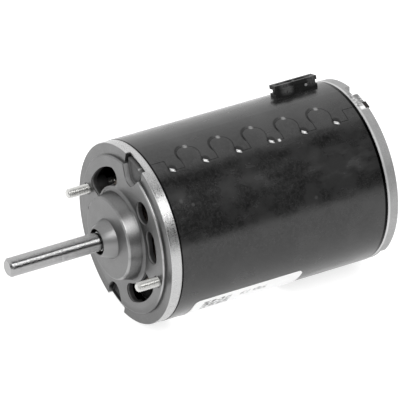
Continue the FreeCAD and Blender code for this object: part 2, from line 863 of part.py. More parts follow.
def brush_card():
    plate = tube(spigot_radius - card_clearance, card_bore_radius, card_front, card_rear)
    pedestal_half = half_holder_x - holder_wall
    pedestal = block(-pedestal_half, pedestal_half, brush_y + half_holder_y, card_front + 0.5,
                     holder_inner + 0.5, holder_cap)
    half_key = math.degrees(key_width / 2 / spigot_inner)
    arm_outer = spigot_inner - key_clearance
    key_end = rear_face + key_stand
    arm = sector(arm_outer - key_depth, arm_outer, key_notch_angle - half_key,
                 key_notch_angle + half_key, card_rear - 0.5, key_end)
    key = sector(arm_outer - key_depth, rear_band_radius, key_notch_angle - half_key,
                 key_notch_angle + half_key, rear_face - key_notch_depth + key_clearance, key_end)
    card = fused([plate, pedestal, swung(pedestal, 180), arm, key])
    cuts = []
    for angle in bolt_angles:
        cuts.append(peg(bolt_radius + bolt_hole_clearance, bolt_circle_radius, angle,
                        card_front - 1, card_rear + 1))
    for angle in (card_screw_angle, card_screw_angle + 180):
        cuts.append(peg(card_screw_radius + 0.1, card_screw_circle, angle, card_front - 1,
                        card_rear + 1))
    return card.cut(cuts)


def card_screws():
    screw = turned([
        (0, card_front - card_screw_head),
        (card_screw_head_radius - 0.8, card_front - card_screw_head),
        (card_screw_head_radius, card_front - card_screw_head * 0.4),
        (card_screw_head_radius, card_front),
        (card_screw_radius, card_front),
        (card_screw_radius, card_rear + card_screw_length - 1),
        (0, card_rear + card_screw_length - 1),
    ])
    slot = block(-card_screw_head_radius, card_screw_head_radius, card_front - card_screw_head - 1,
                 card_front - card_screw_head + 0.7, -0.4, 0.4)
    screw = screw.cut(slot)
    screw.translate(vec(card_screw_circle, 0, 0))
    return [swung(screw, card_screw_angle), swung(screw, card_screw_angle + 180)]


# Connector with two flat blades

def terminal_blade(centre):
    """Flat blade standing radially, with a narrow tail inside the motor."""
    top = shell_radius + connector_height - blade_recess
    neck_bottom = shell_radius - connector_inner_reach
    half = blade_width / 2
    tail = blade_tail_width / 2
    shoulder = top - blade_tip
    corner = half - blade_tip
    points = [
        (neck_bottom, centre - half), (shoulder, centre - half), (top, centre - corner),
        (top, centre + corner), (shoulder, centre + half), (neck_bottom, centre + half),
        (neck_bottom, centre + tail), (neck_bottom - blade_tail, centre + tail),
        (neck_bottom - blade_tail, centre - tail), (neck_bottom, centre - tail),
        (neck_bottom, centre - half),
    ]
    z = -blade_thickness / 2
    outline = Part.makePolygon([vec(x, y, z) for x, y in points])
    return Part.Face(outline).extrude(vec(0, 0, blade_thickness))


def tang():
    """Locking tang of the rear blade, showing through the housing wall."""
    reach = connector_width / 2 + tang_stand
    place = vec(shell_radius + connector_height - tang_drop, blade_centres[1] + tang_offset, -reach)
    return Part.makeCylinder(tang_radius, reach, place, vec(0, 0, 1))


def connector_terminals():
    blades = [terminal_blade(centre) for centre in blade_centres]
    blades[1] = fused([blades[1], tang()])
    return [swung(blade, connector_angle) for blade in blades]


def connector_body():
    base = shell_radius - 0.5
    top = shell_radius + connector_height
    half_length = connector_length / 2
    half_width = connector_width / 2
    waist_low = shell_radius + connector_waist_start
    waist_high = shell_radius + connector_waist_end
    lip = connector_lip
    flange = block(base, waist_low, connector_mid - half_length, connector_mid + half_length,
                   -half_width - lip, half_width + lip)
    waist = block(waist_low - 0.1, waist_high, connector_mid - half_length + 2 * lip,
                  connector_mid + half_length - lip, -half_width, half_width)
    mouth = block(waist_high, top, connector_mid - half_length, connector_mid + half_length,
                  -half_width - lip, half_width + lip)
    lobe_y = connector_y0 + connector_lobe_offset
    lobe = Part.makeCylinder(connector_lobe_radius, connector_height - 0.8,
                             vec(base, lobe_y, 0), vec(1, 0, 0))
    lobe = lobe.common(block(base, top, connector_y0 - 5, connector_mid + half_length, -10, 0))
    collar = fused([flange, waist, mouth, lobe])
    collar = collar.cut(disc(shell_radius, shell_front, shell_rear))
    neck = block(shell_radius - connector_inner_reach, waist_low,
                 connector_mid - connector_neck_length / 2,
                 connector_mid + connector_neck_length / 2, -half_width, half_width)
    housing = fused([collar, neck])
    sockets = [block(top - socket_depth, top + 1, centre - blade_width / 2 - 0.6,
                     centre + blade_width / 2 + 0.6, -socket_width / 2, socket_width / 2)
               for centre in blade_centres]
    blades = [terminal_blade(centre) for centre in blade_centres] + [tang()]
    return swung(housing.cut(sockets + blades), connector_angle)


def wire(points):
    """Round wire along straight runs with rounded joints."""
    shapes = []
    for start, end in zip(points, points[1:]):
        shapes.append(Part.makeCylinder(lead_radius, (end - start).Length, start, end - start))
    for joint in points[1:-1]:
        shapes.append(Part.makeSphere(lead_radius, joint))
    return shapes


def lead_joint(side):
    """Where a lead meets its brush holder, above (side 1) or below (side -1) the axis."""
    return vec(-half_holder_x - lead_radius, brush_y + half_holder_y - lead_joint_setback,
               side * (brush_outer + lead_joint_rise))


def lead_to_upper_holder():
    start_radius = shell_radius - connector_inner_reach - blade_tail - lead_radius
    start = polar(start_radius, connector_angle, blade_centres[1])
    end = lead_joint(1)
    return fused(wire([start, end]) + [Part.makeSphere(lead_radius, start),
                                       Part.makeSphere(lead_radius, end)])


def lead_to_lower_holder():
    start_radius = shell_radius - connector_inner_reach - blade_tail - lead_radius
    track = shell_inner - lead_track_clearance - lead_radius
    level = card_front - lead_radius
    turn = connector_angle + lead_turn
    track_start = connector_angle + lead_track_start
    track_end = lead_track_end
    start = polar(start_radius, connector_angle, blade_centres[0])
    runs = [start, polar(start_radius, turn, blade_centres[0]), polar(start_radius, turn, level),
            polar(track, track_start, level)]
    end = lead_joint(-1)
    tail = [polar(track, track_end, level), end]
    section = Part.Face(Part.Wire([Part.makeCircle(lead_radius, vec(track, level, 0),
                                                   vec(0, 0, 1))]))
    curve = swung(section.revolve(ORIGIN, AXIS, track_end - track_start), track_end)
    ends = [Part.makeSphere(lead_radius, point) for point in (start, runs[-1], tail[0], end)]
    return fused([curve] + wire(runs) + wire(tail) + ends)


# Rating label

def rating_label():
    sheet = tube(shell_radius + label_thickness, shell_radius, shell_front + label_start,
                 shell_front + label_start + label_length)
    half = shell_radius * math.sin(math.radians(label_span / 2))
    stamp = block(shell_radius / 2, shell_radius + 1, shell_front + label_start,
                  shell_front + label_start + label_length, -half, half)
    corners = [edge for edge in stamp.Edges
               if abs(edge.tangentAt(edge.FirstParameter).x) > 0.99]
    stamp = stamp.makeFillet(label_corner, corners)
    return swung(stamp.common(sheet), label_top_angle - label_span / 2)


def upper_and_lower(shape):
    return shape, swung(shape, 180)


brush_upper, brush_lower = upper_and_lower(brush())
holder_upper, holder_lower = upper_and_lower(brush_holder())
spring_upper, spring_lower = upper_and_lower(brush_spring())
shunt_upper, shunt_lower = upper_and_lower(brush_shunt())

pieces = {
    "motor_shell": motor_shell(),
    "front_end_bell": front_end_bell(),
    "rear_end_bell": rear_end_bell(),
    "through_bolts": [swung(through_bolt(), angle) for angle in bolt_angles],
    "bolt_lock_washers": [swung(bolt_washer(), angle) for angle in bolt_angles],
    "magnet_upper": magnet(magnet_angle),
    "magnet_lower": magnet(magnet_angle - 180),
    "magnet_spring_right": magnet_spring(magnet_angle - 90),
    "magnet_spring_left": magnet_spring(magnet_angle + 90),
    "front_bearing": sleeve_bearing(front_bearing_y),
    "rear_bearing": sleeve_bearing(rear_bearing_y),
    "front_oil_felt": oil_felt(front_bearing_y, 1),
    "rear_oil_felt": oil_felt(rear_bearing_y, -1),
    "front_bearing_retainer": bearing_retainer(front_bearing_y, 1),
    "rear_bearing_retainer": bearing_retainer(rear_bearing_y, -1),
    "shaft": shaft(),
    "armature_core": armature_core(),
    "core_insulators": core_insulators(),
    "armature_winding": armature_winding(),
    "commutator_hub": commutator_hub(),
    "commutator_bars": commutator_bars(),
    "front_spacer": front_spacer(),
    "rear_spacer": rear_spacer(),
    "thrust_washers": thrust_washers(),
    "brush_card": brush_card(),
    "brush_card_screws": card_screws(),
    "brush_holder_upper": holder_upper,
    "brush_holder_lower": holder_lower,
    "brush_upper": brush_upper,
    "brush_lower": brush_lower,
    "brush_spring_upper": spring_upper,
    "brush_spring_lower": spring_lower,
    "brush_shunt_upper": shunt_upper,
    "brush_shunt_lower": shunt_lower,
    "connector_body": connector_body(),
    "connector_terminals": connector_terminals(),
    "lead_to_upper_holder": lead_to_upper_holder(),
    "lead_to_lower_holder": lead_to_lower_holder(),
    "rating_label": rating_label(),
}

for node, shape in pieces.items():
    if isinstance(shape, list):
        shape = Part.makeCompound(shape)
    shape.exportStep("parts/" + node + ".step")
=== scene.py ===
import bpy
import math
from mathutils import Matrix, Vector


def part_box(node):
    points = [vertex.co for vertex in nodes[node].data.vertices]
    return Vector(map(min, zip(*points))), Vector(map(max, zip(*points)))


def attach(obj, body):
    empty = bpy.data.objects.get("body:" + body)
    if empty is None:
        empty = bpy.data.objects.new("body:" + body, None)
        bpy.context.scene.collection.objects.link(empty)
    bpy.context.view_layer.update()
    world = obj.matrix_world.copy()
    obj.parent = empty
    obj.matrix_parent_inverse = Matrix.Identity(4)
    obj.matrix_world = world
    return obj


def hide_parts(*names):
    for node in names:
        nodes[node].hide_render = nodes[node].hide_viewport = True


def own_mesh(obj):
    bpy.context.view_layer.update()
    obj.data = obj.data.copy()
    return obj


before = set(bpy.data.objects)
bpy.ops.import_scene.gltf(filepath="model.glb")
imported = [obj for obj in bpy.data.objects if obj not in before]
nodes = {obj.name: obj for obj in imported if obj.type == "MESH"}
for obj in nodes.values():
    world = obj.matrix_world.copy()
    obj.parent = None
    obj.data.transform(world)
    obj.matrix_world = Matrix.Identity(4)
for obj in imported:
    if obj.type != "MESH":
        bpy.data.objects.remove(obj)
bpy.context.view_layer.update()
MM = 0.001


# Camera: a long lens well back, three quarters on to the shaft end and 31 degrees above
# the floor, held level with the horizon. It is aimed a little right of and above the
# middle of the shell's front edge, which is the framing of the photograph.

camera_azimuth = math.radians(60.29)
camera_height_angle = math.radians(31.0)
camera_distance = 1896.2 * MM
sensor_width = 36.0
focal_length = 11.7456 * sensor_width
aim_right = 26.26 * MM
aim_up = 12.43 * MM

shell_low, shell_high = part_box("motor_shell")
shell_front = shell_low.y
shell_rear = shell_high.y
shell_radius = shell_high.x

towards_camera = Vector((
    math.sin(camera_azimuth) * math.cos(camera_height_angle),
    -math.cos(camera_azimuth) * math.cos(camera_height_angle),
    math.sin(camera_height_angle),
))
level_right = Vector((0, 0, 1)).cross(towards_camera).normalized()
level_up = towards_camera.cross(level_right)
shell_front_centre = Vector((0, shell_front, 0))
aim_point = shell_front_centre + level_right * aim_right + level_up * aim_up

camera_data = bpy.data.cameras.new("camera")
camera_data.sensor_width = sensor_width
camera_data.lens = focal_length
camera_data.clip_start = 0.05
camera_data.clip_end = 50.0
camera = bpy.data.objects.new("camera", camera_data)
camera.location = shell_front_centre + towards_camera * camera_distance
backward = (camera.location - aim_point).normalized()
upward = (level_up - backward * level_up.dot(backward)).normalized()
camera.rotation_mode = "QUATERNION"
camera.rotation_quaternion = Matrix((
    upward.cross(backward), upward, backward)).transposed().to_quaternion()
bpy.context.scene.collection.objects.link(camera)
bpy.context.scene.camera = camera


# Studio: a white sweep lies under and behind the motor and hangs over it, the side towards
# the camera is dark, and one softbox stands to the right, halfway up. The floor glows a
# little, so that it stays plain and pale and the motor throws only a faint shadow.

class Signal:
    """One output of a shader node. Arithmetic on it adds Math nodes."""

    def __init__(self, sheet, socket):
        self.sheet = sheet
        self.socket = socket

    def through(self, operation, *values):
        return self.sheet.node("ShaderNodeMath", {"operation": operation},
                               dict(enumerate(values)))

    def __add__(self, other):
        return self.through("ADD", self, other)

    __radd__ = __add__

    def __sub__(self, other):
        return self.through("SUBTRACT", self, other)

    def __rsub__(self, other):
        return self.through("SUBTRACT", other, self)

    def __mul__(self, other):
        return self.through("MULTIPLY", self, other)

    __rmul__ = __mul__

    def __truediv__(self, other):
        return self.through("DIVIDE", self, other)

    def __mod__(self, other):
        return self.through("FLOORED_MODULO", self, other)

    def __pow__(self, other):
        return self.through("POWER", self, other)

    def __abs__(self):
        return self.through("ABSOLUTE", self)

    def __or__(self, other):
        """The larger of two masks."""
        return self.through("MAXIMUM", self, other)

    def above(self, edge, softness):
        """1 where the value is over edge, 0 where it is under, over a soft step."""
        return self.sheet.node("ShaderNodeMapRange", {"interpolation_type": "SMOOTHSTEP"}, {
            "Value": self, "From Min": edge - softness, "From Max": edge + softness})

    def below(self, edge, softness):
        return 1 - self.above(edge, softness)

    def within(self, low, high, softness):
        return self.above(low, softness) * self.below(high, softness)


class NodeSheet:
    """The node tree of a material or of the world, with one way to add a node."""

    def __init__(self, owner):
        owner.use_nodes = True
        self.tree = owner.node_tree

    def link(self, value, socket):
        if isinstance(value, Signal):
            self.tree.links.new(value.socket, socket)
        else:
            socket.default_value = value

    def node(self, kind, settings=None, sockets=None, output=0):
        node = self.tree.nodes.new(kind)
        for name, value in (settings or {}).items():
            setattr(node, name, value)
        for key, value in (sockets or {}).items():
            self.link(value, node.inputs[key])
        return Signal(self, node.outputs[output])

    def mixed(self, mask, first, second):
        """Colour that is first where mask is 0 and second where it is 1."""
        return self.node("ShaderNodeMix", {"data_type": "RGBA"}, {0: mask, 6: first, 7: second},
                         output=2)

    def split(self, vector):
        return [self.node("ShaderNodeSeparateXYZ", None, {0: vector}, output=axis)
                for axis in range(3)]


def grey(level):
    return (level, level, level, 1.0)


bpy.context.scene.view_settings.view_transform = "Standard"
sweep_white = grey(1.25)
room_dark = grey(0.035)
world = bpy.data.worlds.new("studio")
bpy.context.scene.world = world
sky = NodeSheet(world)
sky_x, _, sky_z = sky.split(sky.node("ShaderNodeTexCoord", output=0))
behind = sky_x.below(0.02, 0.10)
under = sky_z.below(0.0, 0.02)
sweep = behind + under - behind * under
sky.link(sky.mixed(sweep, room_dark, sweep_white),
         sky.tree.nodes["Background"].inputs["Color"])

floor_level = -38.6 * MM
floor_half_width = 3.0
floor_mesh = bpy.data.meshes.new("floor")
floor_mesh.from_pydata(
    [(x * floor_half_width, y * floor_half_width, floor_level)
     for x, y in ((-1, -1), (1, -1), (1, 1), (-1, 1))], [], [(0, 1, 2, 3)])
floor = bpy.data.objects.new("floor", floor_mesh)
bpy.context.scene.collection.objects.link(floor)
floor_material = bpy.data.materials.new("pale_floor")
floor_shader = NodeSheet(floor_material).tree.nodes["Principled BSDF"]
for floor_socket, floor_value in (
        ("Base Color", grey(0.45)), ("Roughness", 0.9), ("Specular IOR Level", 0.0),
        ("Emission Color", grey(1.0)), ("Emission Strength", 0.80)):
    floor_shader.inputs[floor_socket].default_value = floor_value
floor_mesh.materials.append(floor_material)

softbox_way = Vector((0.81, -0.17, 1.017)).normalized()
softbox_distance = 1.32
softbox_data = bpy.data.lights.new("side_softbox", "AREA")
softbox_data.shape = "RECTANGLE"
softbox_data.size = 1.30
softbox_data.size_y = 0.72
softbox_data.energy = 17.5
softbox = bpy.data.objects.new("side_softbox", softbox_data)
softbox.location = softbox_way * softbox_distance
softbox.rotation_mode = "QUATERNION"
softbox.rotation_quaternion = softbox_way.to_track_quat("Z", "Y")
bpy.context.scene.collection.objects.link(softbox)


# Motor shell: 2.6 mm steel sheet rolled round and locked by five round tongues and a row
# of punch stakes, then dipped in black enamel that shines a little and has taken scuffs.
# The punch has knocked the enamel off each stake, so bare steel glints there.

class Finish(NodeSheet):
    """A material made of one Principled shader."""

    def __init__(self, name, **fixed):
        self.material = bpy.data.materials.new(name)
        super().__init__(self.material)
        self.shader = self.tree.nodes["Principled BSDF"]
        self.set(**fixed)
        self.place = self.node("ShaderNodeTexCoord", output=3)
        self.x, self.y, self.z = self.split(self.place)

    def set(self, **values):
        for name, value in values.items():
            self.link(value, self.shader.inputs[name.replace("_", " ")])

    def noise(self, size, detail=2.0, stretch=(1, 1, 1)):
        """Soft random value from 0 to 1 whose patches are about size across."""
        spread = self.node("ShaderNodeVectorMath", {"operation": "MULTIPLY"},
                           {0: self.place, 1: [1 / (size * part) for part in stretch]})
        return self.node("ShaderNodeTexNoise", None, {
            "Vector": spread, "Scale": 1.0, "Detail": detail, "Roughness": 0.55})

    def rings(self, pitch, detail=0.0):
        """Random value that changes only along the motor axis, as turned rings do."""
        return self.node("ShaderNodeTexNoise", {"noise_dimensions": "1D"}, {
            "W": self.y / pitch, "Scale": 1.0, "Detail": detail})

    def mottle(self, patch, dark, light, roughness, spread):
        """Colour from dark to light, and roughness that grows by spread, as patch goes to 1."""
        self.set(Base_Color=self.mixed(patch, dark, light), Roughness=roughness + patch * spread)

    def radius(self):
        return (self.x * self.x + self.z * self.z) ** 0.5

    def angle(self):
        """Degrees about the motor axis, from +X towards +Z."""
        return self.z.through("ARCTAN2", self.z, self.x) * math.degrees(1)

    def raise_by(self, height, depth):
        """Bump of that depth where height is 1."""
        self.set(Normal=self.node("ShaderNodeBump", None, {
            "Height": height, "Distance": depth, "Strength": 1.0}))

    def put_on(self, *names):
        for name in names:
            slots = nodes[name].material_slots
            for slot in slots:
                slot.material = self.material
            if not slots:
                nodes[name].data.materials.append(self.material)


shell_wall = 2.6 * MM
tongue_pitch = 15.35 * MM
tongue_head = 4.9 * MM
first_tongue = shell_front + 18.0 * MM
crown_angle = 79.3
crown_to_head_centre = 3.8 * MM
first_stake = shell_front + 8.0 * MM
stake_angle = 64.6
chip_half_length = 0.88 * MM
chip_half_width = 0.56 * MM
chip_slant = 0.6
front_shadow = 0.6 * MM
rear_shadow = 1.35 * MM

enamel = Finish("black_enamel", Specular_IOR_Level=0.5)
blotch = enamel.noise(14 * MM, 4.0)
smear = enamel.noise(5 * MM, 3.0, (1, 2.2, 1))
speck = enamel.noise(1.3 * MM, 3.0)
shell_angle = enamel.angle()


def along_row(start):
    """Distance along the seam from the nearest of a row of marks one tongue pitch apart."""
    return (enamel.y - (start - tongue_pitch / 2)) % tongue_pitch - tongue_pitch / 2


def around_from(angle):
    """Distance round the shell from that angle."""
    return (shell_angle - angle) * math.radians(shell_radius)


def spot(along, around, size, softness):
    """Round mask about a point of the shell, from distances along the axis and around it."""
    return ((along * along + around * around) ** 0.5).below(size, softness)


def spot_at(y, angle, size, softness):
    """Round mask at a place on the shell."""
    return spot(enamel.y - y, around_from(angle), size, softness)


stake_along = along_row(first_stake)
stake_around = around_from(stake_angle)
stake_row = enamel.y.within(shell_front + 4 * MM, shell_rear - 8.8 * MM, 0.5 * MM)
chip = (abs(stake_along).below(chip_half_length, 0.25 * MM) * stake_row
        * abs(stake_around + stake_along * chip_slant).below(chip_half_width, 0.2 * MM))
stray_chip = spot_at(63.4 * MM, 63.9, 0.65 * MM, 0.25 * MM)
stake_shadow = spot(stake_along, stake_around - 0.6 * MM, 1.9 * MM, 0.5 * MM) * stake_row * 0.5

tongue_row = enamel.y.within(shell_front + 11 * MM, shell_rear - 10.8 * MM, 0.5 * MM)
tongue_along = along_row(first_tongue)
crown_around = around_from(crown_angle)
# Painted highlight: a small light metallic spot on each tongue's crown stands in for a glint.
crown_glint = (spot(tongue_along - 0.9 * MM, crown_around, 0.8 * MM, 0.5 * MM)
               * tongue_row * 0.30)
from_head = (tongue_along * tongue_along + (crown_around + crown_to_head_centre) ** 2) ** 0.5
outline_shadow = (from_head.within(tongue_head - 0.5 * MM, tongue_head + 0.5 * MM, 0.25 * MM)
                  * tongue_along.below(-0.8 * MM, 1.2 * MM) * tongue_row
                  * crown_around.above(-6 * MM, 1.5 * MM) * 0.55)

# Painted shade: near-black, dull lines at both ends of the shell, the whole bore, arcs on the
# left of each tongue and patches round the stakes.
edge_shadow = (enamel.y.below(shell_front + front_shadow, 0.1 * MM)
               | enamel.y.above(shell_rear - rear_shadow, 0.15 * MM))
shaded_bore = enamel.radius().below(shell_radius - shell_wall + 0.2 * MM, 0.05 * MM)
# Bare steel at the stakes, together with the painted highlights on the crowns.
bare_steel_and_glints = chip | stray_chip | crown_glint
unlit = (edge_shadow | shaded_bore | outline_shadow | stake_shadow) * (1 - bare_steel_and_glints)

haze_patch = enamel.y.within(72 * MM, 101 * MM, 8 * MM) * shell_angle.within(24, 50, 8)
scuffs = (spot_at(11.4 * MM, 44, 0.8 * MM, 0.6 * MM) | spot_at(16 * MM, 40, 0.7 * MM, 0.5 * MM)
          | spot_at(70 * MM, 23, 0.8 * MM, 0.5 * MM))
dust = (haze_patch * smear.above(0.5, 0.15) * 0.6 | speck.above(0.5, 0.2) * 0.30
        | blotch.above(0.52, 0.1) * 0.30 | scuffs)
clean_enamel = enamel.mixed(blotch.above(0.55, 0.2), grey(0.006), grey(0.012))
dusty_enamel = enamel.mixed(dust, clean_enamel, grey(0.042))
shaded_enamel = enamel.mixed(unlit, dusty_enamel, grey(0.004))
enamel.set(
    Base_Color=enamel.mixed(bare_steel_and_glints, shaded_enamel, grey(0.75)),
    Metallic=bare_steel_and_glints | unlit,
    Roughness=0.17 + smear.above(0.6, 0.25) * 0.12 + blotch.above(0.5, 0.2) * 0.05 + chip * 0.1,
)
orange_peel = enamel.noise(1.6 * MM)
enamel.raise_by(orange_peel, 0.012 * MM)
enamel.put_on("motor_shell")


# Front end bell: a zinc die casting, left as cast with a fine satin skin. Its outer band
# is turned bright where it meets the shell. Painted highlights lighten its plate rim and boss
# edge on the right, and painted light makes the nose's shaded side lighter. Painted shade
# darkens the nose hole, the crease at the boss foot, the lower rim and all that lies behind
# the plate, while the first millimetre of the vent walls is painted lit.

class Casting(Finish):
    """Zinc alloy as cast, with a fine grain and clouds of lighter and darker grey."""

    def __init__(self, name, level):
        super().__init__(name, Metallic=1.0)
        self.grain = self.noise(0.5 * MM, 3.0)
        self.cloud = self.noise(8 * MM, 4.0)
        patches = self.cloud.above(0.5, 0.3) * 0.5 + self.grain.above(0.5, 0.2) * 0.5
        self.skin = self.mixed(patches, grey(level * 0.82), grey(level * 1.2))


band_radius = 38.0 * MM
plate_radius = 33.3 * MM
ring_face = 1.3 * MM
plate_back = 2.6 * MM
boss_radius = 17.5 * MM
boss_face = -6.5 * MM
nose_radius = 8.5 * MM
nose_hole_radius = 5.4 * MM
notch_floor_radius = 26.4 * MM

front_cast = Casting("cast_front", 0.170)
from_axis = front_cast.radius()
depth = front_cast.y
within_plate = from_axis.below(plate_radius - 0.3 * MM, 0.3 * MM)
turned_band = (from_axis.above(band_radius - 0.6 * MM, 0.05 * MM)
               * depth.within(ring_face + 0.1 * MM, shell_front - 0.15 * MM, 0.05 * MM))
in_notch = (from_axis.above(notch_floor_radius - 0.2 * MM, 0.1 * MM)
            * front_cast.angle().within(64, 97, 1) * depth.below(3.8 * MM, 0.3 * MM))
# Painted shade: all that lies behind the plate, and the vent walls deeper than a millimetre, are
# dark; the notch is left out.
behind_plate = (depth.above(plate_back - 0.1 * MM, 0.3 * MM)
                | within_plate * depth.above(1.0 * MM, 0.4 * MM))
shaded_inside = from_axis.below(band_radius - 0.7 * MM, 0.1 * MM) * behind_plate * (1 - in_notch)
# Painted light: the first millimetre of the vent walls, and the notch walls, are lighter and
# less metallic than the face.
lit_wall_band = within_plate * depth.above(0.3 * MM, 0.2 * MM) * (1 - shaded_inside)
# Painted shade inside the nose hole.
shaded_nose_hole = from_axis.below(nose_hole_radius + 0.2 * MM, 0.05 * MM)
# Painted shade in the crease at the foot of the boss.
boss_foot_shade = (from_axis.within(boss_radius + 0.7 * MM, boss_radius + 1.9 * MM, 0.4 * MM)
              * depth.within(-1.3 * MM, 0.1 * MM, 0.3 * MM) * 0.4)
low_shade = (from_axis.above(31 * MM, 1 * MM) * front_cast.z.below(-16 * MM, 4 * MM)
             * (1 - turned_band) * 0.35)
# Painted light: the nose's shaded right side is lighter and less metallic.
nose_fill_light = (from_axis.below(nose_radius + 0.2 * MM, 0.3 * MM)
              * depth.below(boss_face + 0.05 * MM, 0.1 * MM)
              * front_cast.x.above(3 * MM, 3 * MM))
# Painted highlights on the plate rim and the boss edge, only on the side towards the softbox,
# broken up by the cloud noise.
plate_edge_highlight = (from_axis.within(plate_radius - 0.5 * MM, plate_radius + 0.3 * MM, 0.15 * MM)
              * depth.below(0.6 * MM, 0.2 * MM)
              * front_cast.x.above(12 * MM, 4 * MM) * front_cast.z.above(-14 * MM, 8 * MM))
boss_edge_highlight = (from_axis.within(boss_radius - 0.9 * MM, boss_radius + 0.1 * MM, 0.15 * MM)
             * depth.below(boss_face + 0.8 * MM, 0.2 * MM)
             * front_cast.x.above(8 * MM, 4 * MM) * 0.6)
edge_highlight = (plate_edge_highlight | boss_edge_highlight) * front_cast.cloud.above(0.4, 0.15)
turning = front_cast.rings(0.10 * MM)

front_colour = front_cast.skin
for mask, level in ((edge_highlight, 0.42), (turned_band, 0.46), (lit_wall_band, 0.26), (low_shade, 0.06),
                    (nose_fill_light, 0.22), (shaded_nose_hole | boss_foot_shade, 0.06), (shaded_inside, 0.10)):
    front_colour = front_cast.mixed(mask, front_colour, grey(level))
front_cast.set(
    Base_Color=front_colour,
    Metallic=1 - lit_wall_band * 0.8 - nose_fill_light * 0.45 - shaded_inside * (1 - lit_wall_band) * 0.3,
    Roughness=0.33 + front_cast.grain * 0.08 - turned_band * 0.09,
)
front_cast.raise_by(front_cast.grain * (1 - turned_band) + turning * turned_band, 0.05 * MM)
front_cast.put_on("front_end_bell")


# Rear end bell: cast in the same zinc alloy as the front one, and blind over the bearing. Its
# rim is left as cast, with a shaded line where it meets the shell, a bright front edge, pits
# with bright speckles among them, and a painted glint beside the slot for the brush card's key.

rear_cast = Casting("cast_rear", 0.35)
from_shell = rear_cast.y - shell_rear
rear_angle = rear_cast.angle()
flashing = rear_cast.noise(1.7 * MM)
on_rim = rear_cast.radius().above(37.2 * MM, 0.2 * MM)
shadow_line = from_shell.below(0.05 * MM, 0.1 * MM)
front_edge = from_shell.within(0.2 * MM, 1.1 * MM, 0.3 * MM) * 0.8
pitted = on_rim * rear_angle.within(71.5, 85, 2) * from_shell.above(0.6 * MM, 0.5 * MM)
pits = pitted * flashing.below(0.47, 0.1) * 0.75
# Painted highlight: a bright glint beside the key's slot, with bright speckles among the pits.
glint_and_speckles = (on_rim * rear_angle.within(68.9, 71.6, 0.8)
        * from_shell.within(1.5 * MM, 3.9 * MM, 0.6 * MM)
        | pitted * flashing.above(0.58, 0.08) * 0.5)
rear_colour = rear_cast.skin
for mask, level in ((front_edge, 0.62), (pits, 0.16), (glint_and_speckles, 0.95), (shadow_line, 0.03)):
    rear_colour = rear_cast.mixed(mask, rear_colour, grey(level))
rear_cast.set(Base_Color=rear_colour, Roughness=0.50 + rear_cast.grain * 0.08)
rear_cast.raise_by(rear_cast.grain, 0.05 * MM)
rear_cast.put_on("rear_end_bell")


# Through bolts: number 8-32 screws, zinc plated, with a rolled right-hand thread on the
# stud that stands out of the front plate and a hexagon head on a split lock washer behind.

plated = Finish("zinc_plate", Metallic=1.0)
plated.mottle(plated.noise(1.5 * MM, 3.0), (0.50, 0.50, 0.49, 1), (0.66, 0.66, 0.64, 1),
              0.26, 0.12)
plated.put_on("bolt_lock_washers", "brush_card_screws")

bolt_circle_radius = 29.37 * MM
bolt_angle = math.radians(-13.8)
stud_tip = -9.5 * MM
tip_chamfer = 0.7 * MM
tip_flat_radius = 0.4 * MM
thread_end = 12.0 * MM
thread_pitch = 0.794 * MM
crest_radius = 2.08 * MM
root_radius = 1.60 * MM
shank_radius = 1.83 * MM
flank_slope = 2.4
flank_start = 0.1
bolt_segments = 36
rings_per_turn = 9
under_head = 107.1 * MM
head_end = 110.1 * MM
head_corner_radius = 3.666 * MM
largest_round_face = 1e-6


def thread_radius(y, angle):
    """Radius of a right-hand thread, faded out over the chamfer of the tip."""
    turn = (y / thread_pitch + angle / math.tau) % 1.0
    flank = min(1.0, max(0.0, flank_slope * abs(turn - 0.5) - flank_start))
    on_chamfer = crest_radius - tip_chamfer + (y - stud_tip)
    on_thread = crest_radius - (crest_radius - root_radius) * flank
    return min(on_thread, max(on_chamfer, tip_flat_radius))


def bolt_rings():
    """Rings of (y, radius for each step round) from the tip to the end of the shank."""
    rings = []
    steps = int((thread_end - stud_tip) / (thread_pitch / rings_per_turn))
    for step in range(steps + 1):
        y = stud_tip + (thread_end - stud_tip) * step / steps
        rings.append((y, [thread_radius(y, math.tau * k / bolt_segments)
                          for k in range(bolt_segments)]))
    for y in (thread_end + 0.3 * MM, under_head):
        rings.append((y, [shank_radius] * bolt_segments))
    return rings


def hexagon_rings():
    """Rings of the head, chamfered at both ends."""
    return [(y, [corner] * 6) for y, corner in (
        (under_head, head_corner_radius - 0.3 * MM), (under_head + 0.2 * MM, head_corner_radius),
        (head_end - 0.3 * MM, head_corner_radius), (head_end, head_corner_radius - 0.5 * MM))]


def add_rings(mesh_data, rings, centre_x=0.0, centre_z=0.0):
    """Skin over rings stacked along y, closed at both ends."""
    points, faces = mesh_data
    first = len(points)
    segments = len(rings[0][1])
    for y, radii in rings:
        for k, radius in enumerate(radii):
            angle = math.tau * k / segments
            points.append((centre_x + radius * math.cos(angle), y,
                           centre_z + radius * math.sin(angle)))
    for row in range(len(rings) - 1):
        for k in range(segments):
            a = first + row * segments + k
            b = first + row * segments + (k + 1) % segments
            faces.append((a, a + segments, b + segments, b))
    last = first + (len(rings) - 1) * segments
    faces.append(tuple(range(first, first + segments)))
    faces.append(tuple(range(last + segments - 1, last - 1, -1)))


def new_piece(name, mesh_data, material, smooth_faces=None):
    """Mesh object with one material, rounded in shading where asked."""
    points, faces = mesh_data
    mesh = bpy.data.meshes.new(name)
    mesh.from_pydata(points, [], faces)
    mesh.materials.append(material)
    for polygon in mesh.polygons:
        polygon.use_smooth = smooth_faces is None or smooth_faces(polygon)
    mesh.update()
    piece = bpy.data.objects.new(name, mesh)
    bpy.context.scene.collection.objects.link(piece)
    return piece


